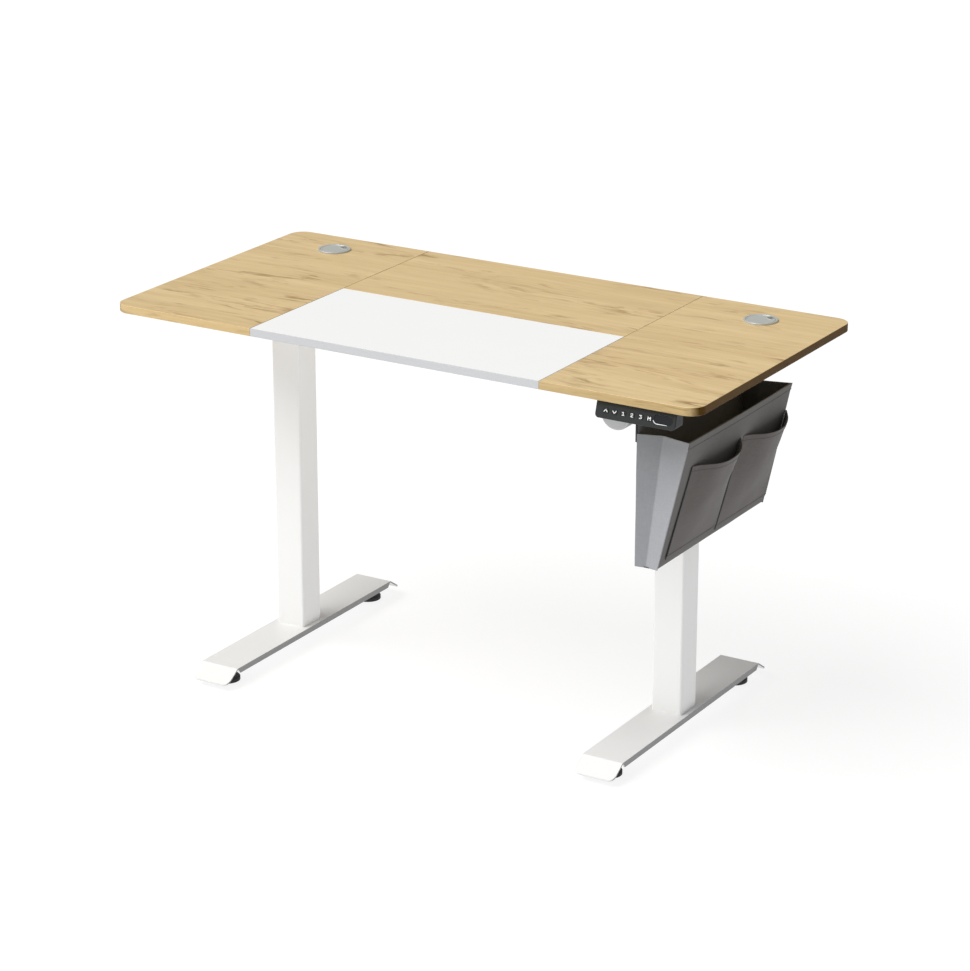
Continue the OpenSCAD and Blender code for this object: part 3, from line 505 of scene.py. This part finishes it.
liner_low, liner_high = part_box("grommet_liners")
cap_box = {s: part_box("grommet_cap_" + s) for s in ("left", "right")}
grommets = {s: ((lo.x + hi.x) / 2, (lo.y + hi.y) / 2, (hi.x - lo.x) / 2) for s, (lo, hi) in cap_box.items()}
TUBE_R = 0.0285
for side, corners in (("left", [CORNER, 0, 0, CORNER]), ("right", [0, CORNER, CORNER, 0])):
    gx, gy, _ = grommets[side]
    board("panel_" + side, corners, [oak("oak_" + side, OAK[side][0]), oak_edge[side], oak_brim_highlight],
          [circle(gx, gy, TUBE_R)])
board("panel_rear", [0] * 4, [oak("oak_rear", OAK["rear"][0]), oak_edge["rear"], oak_brim_highlight])
board("panel_front", [0] * 4, [MATS["white_board"], MATS["white_edge"]])

# Grommets: a flanged liner and a cap with a cable slot
FLANGE_R, BORE_R = 0.0315, 0.0269
RIM_R, LIP_R = 0.0012, 0.0008
SLOT_ANGLE, SLOT_HALF, SLOT_DEEP, SLOT_R = math.radians(50), 0.0075, 0.012, 0.003
board_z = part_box("panel_left")[1].z
top_z = liner_high.z
for side, (gx, gy, gr) in grommets.items():
    turn = [math.pi / 2 * k / 5 for k in range(6)]
    rim = [(FLANGE_R - RIM_R + RIM_R * math.cos(t), top_z - RIM_R + RIM_R * math.sin(t)) for t in turn]
    lip = [(BORE_R + LIP_R - LIP_R * math.sin(t), top_z - LIP_R + LIP_R * math.cos(t)) for t in turn]
    profile = [(TUBE_R, liner_low.z), (TUBE_R, board_z), (FLANGE_R, board_z), *rim, *lip,
               (BORE_R, liner_low.z)]
    Shell().lathe(profile, (gx, gy)).make("grommet_liner_" + side, [MATS["silver_plastic"]], "desk_top",
                                          stands_for=["grommet_liners"], slot="silver_plastic")
    first, slot_in = math.asin(SLOT_HALF / gr), gr - SLOT_DEEP
    arc = [first + (2 * math.pi - 2 * first) * k / 72 for k in range(73)]
    edge = [Vector((gr * math.cos(t), gr * math.sin(t))) for t in arc]
    notch = rounded([(gr, -SLOT_HALF), (slot_in, -SLOT_HALF), (slot_in, SLOT_HALF), (gr, SLOT_HALF)],
                    [0, SLOT_R, SLOT_R, 0], 5)[1:-1]
    c, s = math.cos(SLOT_ANGLE), math.sin(SLOT_ANGLE)
    outline = [Vector((gx + p.x * c - p.y * s, gy + p.x * s + p.y * c)) for p in edge + notch]
    low_z, high_z = cap_box[side][0].z, cap_box[side][1].z
    profile = [(0, low_z), (0, high_z - 0.0007), (0.0003, high_z - 0.0002), (0.0008, high_z),
               (0.0020, high_z), (0.0024, high_z - 0.0004), (0.0028, high_z - 0.0006)]
    Shell().slab(outline, profile, upright).make(
        "grommet_cover_" + side, [MATS["silver_plastic"]], "grommet_cap_" + side,
        stands_for=["grommet_cap_" + side], slot="silver_plastic")


# ---- CAD nodes that stay, with their finish ----

FINISH = {
    "beech": ["panel_dowels"],
    "white_steel": ["side_bracket_left", "side_bracket_right", "cross_rails", "inner_column_left",
                    "inner_column_right", "outer_column_left", "outer_column_right"],
    "foot_coat": ["foot_left", "foot_right"],
    "zinc_steel": ["joining_plates", "frame_bolts", "push_tubes", "drive_rod", "foot_bolts", "bag_rivets"],
    "dark_steel": ["wood_screws", "shaft_bearings"],
    "gear_steel": ["lead_screw_left", "lead_screw_right", "rod_gears", "motor_shaft"],
    "cast_housing": ["gearbox_left", "gearbox_right", "motor_gear_head"],
    "motor_grey": ["motor_can", "motor_end_cap"],
    "nut_bronze": ["lead_nuts"],
    "white_plastic": ["column_sleeves", "column_glides", "cable_clips"],
    "black_plastic": ["control_box", "mains_inlet", "handset_cover"],
    "circuit": ["circuit_boards"],
    "cable_black": ["motor_cable", "handset_cable"],
    "rubber_black": ["glide_left_front", "glide_left_rear", "glide_right_front", "glide_right_rear"],
    "hanger": ["bag_hanger"],
}
for finish, names in FINISH.items():
    for name in names:
        for material_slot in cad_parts[name].material_slots:
            material_slot.material = MATS[finish]


# ---- Handset ----

case_low, case_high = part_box("handset_case")
LEAN = math.radians(18.15)
face_y = case_low.y


def face_point(x, z):
    """The point of the handset's leaning face at x and height z."""
    return Vector((x, face_y + (z - case_low.z) * math.tan(LEAN), z))


def on_face(x, z):
    """A map from (along the face, up it, out of it) to the desk's frame."""
    origin = face_point(x, z)
    up, out = Vector((0, math.sin(LEAN), math.cos(LEAN))), Vector((0, -math.cos(LEAN), math.sin(LEAN)))
    return lambda u, v, w: origin + Vector((u, 0, 0)) + up * v + out * w


WINDOW_W, WINDOW_H = 0.037, 0.017


def window_outline(grow):
    """The display's outline, a long round-ended slot, grown by a distance."""
    w, h = WINDOW_W / 2 + grow, WINDOW_H / 2 + grow
    return box2(-w, w, -h, h, h - 0.0001, 10)


def middle_x(name):
    low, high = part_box(name)
    return (low.x + high.x) / 2


KEY_W, KEY_H, KEY_R, KEY_GAP = 0.0105, 0.0085, 0.0022, 0.0003
KEYS = ["up", "down", "1", "2", "3", "memory"]
display_x = middle_x("handset_display")
key_x = {k: middle_x("button_" + k) for k in KEYS}
key_z = case_low.z + 0.0135
window_z = key_z + 0.0015


def key_outline(gap=0.0):
    return box2(-KEY_W / 2 - gap, KEY_W / 2 + gap, -KEY_H / 2 - gap, KEY_H / 2 + gap, KEY_R + gap)


def face_outline(x, z, points):
    """An outline drawn on the face about (x, z), as (x, height) pairs."""
    m = on_face(x, z)
    return [Vector((m(p.x, p.y, 0).x, m(p.x, p.y, 0).z)) for p in points]


case_outline = rounded([(case_low.x, case_low.z), (case_high.x, case_low.z), (case_high.x, case_high.z),
                        (case_low.x, case_high.z)], [0.007, 0.007, 0.0012, 0.0012], 8)


def case_lift(x, z, w):
    """w is 0 at the back of the front shell and 1 on its leaning face."""
    front = face_point(x, z).y
    return (x, case_high.y + (front - case_high.y) * w, z)


KEY_PIT, WINDOW_PIT = 0.7, 0.85    # how far out the pits' floors lie, as w above
CASE_PROFILE = [(0.0003, 0.0), (0, 0.02), (0, 0.92), (0.0003, 0.96), (0.0009, 0.985), (0.0017, 1.0)]
pits = [(face_outline(key_x[k], key_z, key_outline(KEY_GAP)), KEY_PIT) for k in KEYS]
pits.append((face_outline(display_x, window_z, window_outline(0.0002)), WINDOW_PIT))
Shell().slab(case_outline, CASE_PROFILE, case_lift, pits=pits).make(
    "handset_front", [MATS["black_plastic"]], "desk_top", stands_for=["handset_case"], slot="black_plastic")
window = on_face(display_x, window_z)
Shell().slab(window_outline(-0.0008), soft_edge(0.0004, -0.0026, -0.0004), window).make(
    "handset_window", [MATS["display_window"]], "desk_top", stands_for=["handset_display"],
    slot="display_window")
Shell().slab(window_outline(0.0001), soft_edge(0.0003, -0.0028, 0.0003), window,
             holes=[window_outline(-0.0009)]).make(
    "handset_window_rim", [MATS["key_black"]], "desk_top", slot="key_black")


def arc_band(r_out, r_in, reach, steps=14):
    """A band under the window: round its left end, then straight along the bottom."""
    left = -WINDOW_W / 2 + WINDOW_H / 2
    turn = [math.pi + (math.pi / 2) * (0.25 + 0.75 * k / steps) for k in range(steps + 1)]
    outer = [Vector((left + r_out * math.cos(t), r_out * math.sin(t))) for t in turn]
    inner = [Vector((left + r_in * math.cos(t), r_in * math.sin(t))) for t in turn]
    return outer + [Vector((reach, -r_out + 0.0005)), Vector((reach, -r_in))] + inner[::-1]


# A painted highlight: a white band along the window's lower left, where light catches the rim
Shell().slab(arc_band(0.0089, 0.0077, 0.0085), soft_edge(0.0002, -0.0002, 0.0006), window).make(
    "handset_window_glint", [MATS["icon"]], "desk_top", slot="silver_plastic")

# Legends, drawn as strokes in millimetres about the middle of a key
GLYPHS = {
    "up": [[(-3.2, -1.7), (0, 2.2), (3.2, -1.7)]],
    "down": [[(-3.2, 1.7), (0, -2.2), (3.2, 1.7)]],
    "1": [[(-1.5, 1.7), (0.4, 2.7), (0.4, -2.7)], [(-1.6, -2.7), (2.2, -2.7)]],
    "2": [[(-2.0, 1.6), (-0.9, 2.7), (1.1, 2.7), (2.0, 1.5), (-2.0, -2.7), (2.2, -2.7)]],
    "3": [[(-2.0, 2.7), (2.0, 2.7), (0.0, 0.5), (2.0, -0.5), (1.8, -2.2), (0.3, -2.8), (-2.0, -2.3)]],
    "memory": [[(-2.4, -2.7), (-2.4, 2.7), (0, -0.3), (2.4, 2.7), (2.4, -2.7)]],
}


def strokes(shell, lines, lift, width, low, high):
    """Thin raised bars along each line."""
    for line in lines:
        for a, b in zip(line, line[1:]):
            a, b = Vector(a) * MM, Vector(b) * MM
            along = (b - a).normalized() * width / 2
            side = Vector((-along.y, along.x))
            a, b = a - along * 0.7, b + along * 0.7
            shell.slab([a - side, b - side, b + side, a + side], [(0, low), (0.00004, high)], lift)
    return shell


KEY_PROFILE = [(0, -0.005), (0, 0.0003), (0.0002, 0.0006), (0.0006, 0.0008)]
STROKE_W, STROKE_Z = 0.0014, (0.0007, 0.00092)
for k in KEYS:
    lift = on_face(key_x[k], key_z)
    Shell().slab(key_outline(), KEY_PROFILE, lift).make(
        "key_" + k, [MATS["key_black"]], "button_" + k, stands_for=["button_" + k], slot="key_black")
    strokes(Shell(), GLYPHS[k], lift, STROKE_W, *STROKE_Z).make(
        "legend_" + k, [MATS["icon"]], "button_" + k, slot="silver_plastic", weighted=False)


# ---- Bag ----

bag_low, bag_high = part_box("bag_body")
WALL = 0.0024
half_wall = WALL / 2
BX, BZ = bag_low.x, bag_low.z
FOOT_W, MOUTH_W = 0.044, 0.101
MOUTH_Z = BZ + 0.240
SLOPE = math.atan2(MOUTH_W - FOOT_W, MOUTH_Z - BZ)
SLANT = (MOUTH_Z - BZ) / math.cos(SLOPE)
BELLY, SAG = 0.0022, 0.0016    # how far the outer wall bows out, and its top edge hangs, halfway along
HEM = 0.013


def wobble(p, size, scale, seed=0.0):
    """Small smooth unevenness."""
    return noise.noise(Vector(p) * scale + Vector((seed, seed * 1.7, -seed))) * size


def grid(name, rows, mats, thick, slot, stands_for=(), lining=0, bevel=0.0005):
    """A sheet from rows of points, thickened evenly; lining is the step to its other side's finish."""
    n = len(rows[0])
    verts = [p for row in rows for p in row]
    faces = [(r * n + c, r * n + c + 1, (r + 1) * n + c + 1, (r + 1) * n + c)
             for r in range(len(rows) - 1) for c in range(n - 1)]
    piece = finish_mesh(name, verts, faces, mats, "desk_top", slot, stands_for, smooth=60, weighted=False)
    solid = piece.modifiers.new("thickness", "SOLIDIFY")
    solid.thickness, solid.offset, solid.use_even_offset = thick, 0.0, True
    solid.material_offset = lining
    edge = piece.modifiers.new("edge", "BEVEL")
    edge.width, edge.segments, edge.limit_method, edge.angle_limit = bevel, 2, "ANGLE", math.radians(60)
    piece.modifiers.new("weighted", "WEIGHTED_NORMAL")
    return piece


# The wrap: back, bottom and outer wall in one strip
inner_x, floor_z = BX + half_wall, BZ + half_wall
nx, nz = math.cos(SLOPE), -math.sin(SLOPE)
FOLD = 0.004
BACK_STEPS, FOLD_STEPS, FOOT_STEPS, OUTER_STEPS, LONG_STEPS = 34, 5, 6, 40, 56
back_top = bag_high.z - 0.001
outer_x = BX + FOOT_W - half_wall * nx
path = [(inner_x, back_top + (floor_z + FOLD - back_top) * k / BACK_STEPS) for k in range(BACK_STEPS + 1)]
for k in range(1, FOLD_STEPS):
    t = math.pi / 2 * k / FOLD_STEPS
    path.append((inner_x + FOLD - FOLD * math.cos(t), floor_z + FOLD - FOLD * math.sin(t)))
foot_run = outer_x - inner_x - 2 * FOLD
path += [(inner_x + FOLD + foot_run * k / FOOT_STEPS, floor_z) for k in range(FOOT_STEPS + 1)]
turn_total = math.pi / 2 - SLOPE
for k in range(1, FOLD_STEPS):
    t = turn_total * k / FOLD_STEPS
    path.append((outer_x - FOLD * 0.8 * (1 - math.sin(t) / math.sin(turn_total)),
                 floor_z + FOLD * 0.81 * (1 - math.cos(t)) / (1 - math.cos(turn_total))))
for k in range(OUTER_STEPS + 1):
    h = FOLD + (SLANT - FOLD) * k / OUTER_STEPS
    path.append((outer_x + math.sin(SLOPE) * h, BZ + math.cos(SLOPE) * h + half_wall * 0.4))
y_low, y_high = bag_low.y + WALL, bag_high.y - WALL


def skew(x, z):
    """How far the bag's rear end hangs back at the bottom of its outer wall, and forward at the top."""
    v = max(0.0, min(1.0, (z - BZ) / (MOUTH_Z - BZ)))
    across = max(0.0, min(1.0, (x - BX) / (FOOT_W + (MOUTH_W - FOOT_W) * v)))
    return (0.0085 - 0.0140 * v) * across


rows = []
for k in range(LONG_STEPS + 1):
    v = k / LONG_STEPS
    y = y_low + (y_high - y_low) * v
    row = []
    for i, (x, z) in enumerate(path):
        u = max(0.0, (z - BZ) / (MOUTH_Z - BZ))
        out = down = 0.0
        if i > len(path) - OUTER_STEPS - 2:
            out = BELLY * math.sin(math.pi * min(1, u)) * math.sin(math.pi * v)
            out += wobble((x, y, z), 0.0009, 14) * min(1, 4 * v, 4 - 4 * v)
            down = SAG * math.sin(math.pi * v) * u
        row.append((x + out * nx, y + v * skew(x, z), z + out * nz - down))
    rows.append(row)
wrap = grid("bag_wrap", rows, [MATS["felt_lining"], MATS["felt_side"], MATS["felt_side"]], WALL,
            "felt_grey", ["bag_body"], lining=1)


def end_panel(name, y_edge, inwards):
    """A tapered end that folds in along a crease, deeper towards the mouth."""
    panel = []
    across, up = 26, 44
    for r in range(up + 1):
        v = r / up
        z = BZ + (MOUTH_Z - BZ) * v
        width = FOOT_W + (MOUTH_W - FOOT_W) * v
        crease = 0.46 - 0.03 * v
        line = []
        for c in range(across + 1):
            u = c / across
            u = u * 2 * crease if u < 0.5 else crease + (u - 0.5) * 2 * (1 - crease)
            tent = u / crease if u < crease else (1 - u) / (1 - crease)
            tent = 1 - math.sqrt((1 - tent) ** 2 + 0.0008)
            fold = (0.0030 + 0.0125 * v) * max(0, tent)
            y = y_edge + inwards * (half_wall + fold) + wobble((u * 0.1, y_edge, z), 0.0006, 22, 3)
            y += skew(BX + width * u, z) if inwards < 0 else 0.0
            line.append((BX + width * u, y, z - 0.0008 * math.sin(math.pi * u) * v))
        panel.append(line)
    if inwards < 0:
        panel = panel[::-1]
    return grid(name, panel, [MATS["felt_grey"], MATS["felt_lining"], MATS["felt_grey"]], WALL, "felt_grey",
                lining=1)


end_front = end_panel("bag_end_front", bag_low.y, 1)
end_rear = end_panel("bag_end_rear", bag_high.y, -1)


def on_wall(y, h, out):
    """A point over the outer wall: y along it, h up its slope, out from its face."""
    return Vector((BX + FOOT_W + math.sin(SLOPE) * h + nx * out, y, BZ + math.cos(SLOPE) * h + nz * out))


def stitch_line(shell, points, size=0.00042):
    """One stitch for each pair of points, as a small six-sided bar with pointed ends."""
    for a, b in zip(points[::2], points[1::2]):
        a, b = Vector(a), Vector(b)
        along = (b - a).normalized()
        side = along.orthogonal().normalized()
        other = along.cross(side)
        ends = [shell.ring([a]), shell.ring([b])]
        rings = []
        for t in (0.18, 0.5, 0.82):
            r = size * (1.0 if t == 0.5 else 0.8)
            centre = a.lerp(b, t)
            rings.append(shell.ring([centre + (side * math.cos(q) + other * math.sin(q)) * r
                                     for q in [k * math.pi / 3 for k in range(6)]]))
        for k in range(6):
            j = (k + 1) % 6
            shell.face([ends[0][0], rings[0][j], rings[0][k]])
            shell.face([ends[1][0], rings[2][k], rings[2][j]])
        shell.wall(rings[0], rings[1])
        shell.wall(rings[1], rings[2])


def dotted(curve, pitch=0.0042, fill=0.62):
    """Start and end points of stitches along a curve given as a function of 0..1."""
    fine_points = [Vector(curve(k / 400)) for k in range(401)]
    lengths = [0.0]
    for a, b in zip(fine_points, fine_points[1:]):
        lengths.append(lengths[-1] + (b - a).length)
    out, at, i = [], 0.0, 0
    while at + pitch * fill < lengths[-1]:
        for want in (at, at + pitch * fill):
            while lengths[i + 1] < want:
                i += 1
            t = (want - lengths[i]) / max(1e-9, lengths[i + 1] - lengths[i])
            out.append(fine_points[i].lerp(fine_points[i + 1], t))
        at += pitch
    return out


# The hem along the outer wall's top, and its stitches
stitches = Shell()
bag_length = bag_high.y - bag_low.y
hem_rows = []
for k in range(LONG_STEPS + 1):
    v = k / LONG_STEPS
    y = bag_low.y + 0.0008 + (bag_length - 0.0016) * v + v * skew(BX + MOUTH_W, MOUTH_Z)
    sag = SAG * math.sin(math.pi * v)
    row = []
    for i in range(6):
        h = SLANT - HEM + (HEM + 0.0006) * i / 5
        belly = BELLY * math.sin(math.pi * h / SLANT) * math.sin(math.pi * v)
        row.append(on_wall(y, h - sag * h / SLANT, 0.0002 + belly))
    hem_rows.append(row)
hem = grid("bag_hem", hem_rows, [MATS["felt_side"]] * 2, 0.0009, "felt_grey", bevel=0.0002)


def hem_curve(t):
    y = bag_low.y + 0.004 + (bag_length - 0.008) * t
    rise = math.sin(math.pi * (y - bag_low.y) / bag_length)
    h = SLANT - HEM + 0.0016
    return on_wall(y, h - SAG * rise, 0.0011 + BELLY * math.sin(math.pi * h / SLANT) * rise)


stitch_line(stitches, dotted(hem_curve))


def curve_through(points, t):
    """A smooth curve through evenly spaced control points."""
    n = len(points) - 1
    i = min(int(t * n), n - 1)
    f = t * n - i
    p = [Vector(points[max(0, min(n, i + d))]) for d in (-1, 0, 1, 2)]
    return 0.5 * ((2 * p[1]) + (p[2] - p[0]) * f + (2 * p[0] - 5 * p[1] + 4 * p[2] - p[3]) * f * f
                  + (3 * p[1] - p[0] - 3 * p[2] + p[3]) * f ** 3)


# Pockets: sewn flat at both sides and the foot, bulging to a D at the mouth; (along, share of the bulge)
BULGE = [(0, 0), (0.10, 0.20), (0.21, 0.47), (0.34, 0.78), (0.47, 0.96), (0.59, 1.0), (0.70, 0.96),
         (0.80, 0.80), (0.89, 0.52), (0.955, 0.22), (1.0, 0.0)]
POCKET_HIGH, POCKET_OUT, POCKET_HEM = 0.1925, 0.026, 0.011


def pocket(name, foot, mouth, low, node):
    """A pocket whose foot and mouth are each (first y, last y), from a height up the wall."""
    columns, levels = 70, 44
    height = POCKET_HIGH - low

    def at(u, v, lift=0.0):
        along, share = curve_through(BULGE, u)
        y = foot[0] + (foot[1] - foot[0]) * along
        y += (mouth[0] + (mouth[1] - mouth[0]) * along - y) * v
        f = v ** 1.2 * max(0.0, share)
        h = low + height * v - 0.0055 * f
        o = POCKET_OUT * f + 0.0016 * math.sin(math.pi * v) * math.sin(math.pi * along)
        o += wobble((y, h, 0), 0.0014, 20, 5) * min(1, 6 * v) * min(1, 8 * u, 8 - 8 * u)
        return on_wall(y, h, max(0.0004, o) + half_wall * 0.75 + lift)

    def patch(first_v, last_v, steps, lift=0.0):
        heights = [first_v + (last_v - first_v) * r / steps for r in range(steps + 1)]
        return [[at(c / columns, v, lift) for c in range(columns + 1)] for v in heights]

    piece = grid(name, patch(0, 1, levels), [MATS["felt_dark"], MATS["felt_lining"], MATS["felt_dark"]],
                 0.0015, "felt_dark", [node], lining=1, bevel=0.0003)
    top = 1 - POCKET_HEM / height
    band = patch(top, 1.002, 5, 0.0010)
    band_piece = grid(name + "_hem", band, [MATS["felt_dark"]] * 2, 0.0008, "felt_dark", bevel=0.0002)
    stitch_line(stitches, dotted(lambda t: at(0.01 + 0.98 * t, top + 0.012, 0.0016)))
    stitch_line(stitches, dotted(lambda t: at(0.012, 0.02 + 0.95 * t, 0.0010)))
    stitch_line(stitches, dotted(lambda t: at(0.988, 0.02 + 0.95 * t, 0.0010)))
    stitch_line(stitches, dotted(lambda t: at(0.01 + 0.98 * t, 0.022, 0.0010)))


pocket("bag_pocket_panel_front", (bag_low.y + 0.022, -0.0180), (bag_low.y + 0.035, -0.0070), 0.018,
       "bag_pocket_front")
pocket("bag_pocket_panel_rear", (-0.0165, bag_high.y + 0.004), (0.003, bag_high.y - 0.004), 0.016,
       "bag_pocket_rear")


def shadow_strip(name, start, end, width, proud):
    """A painted shadow: a dark strip on the outer wall, from start to end as (y, height up the wall)."""
    steps = 30
    strip_rows = []
    for k in range(steps + 1):
        y, h = (a + (b - a) * k / steps for a, b in zip(start, end))
        strip_rows.append([on_wall(y + width * d, h, proud + 0.0003 * (1 - 4 * d * d))
                           for d in (-0.5, -0.2, 0.2, 0.5)])
    return grid(name, strip_rows, [MATS["thread"]] * 2, 0.0008, "felt_dark", bevel=0.0002)


# Painted shadows: the fold between the two pockets, and the gap along the front pocket's front edge
shadow_strips = [shadow_strip("bag_shadow_strip_middle", (-0.0172, 0.013), (-0.0035, POCKET_HIGH - 0.006), 0.0034,
                   half_wall + 0.0009),
         shadow_strip("bag_shadow_strip_front", (bag_low.y + 0.0205, 0.016), (bag_low.y + 0.0335, POCKET_HIGH), 0.0026,
                   half_wall + 0.0007)]
thread = stitches.make("bag_stitching", [MATS["thread"]], "desk_top", slot="felt_dark", weighted=False,
                       smooth=80)
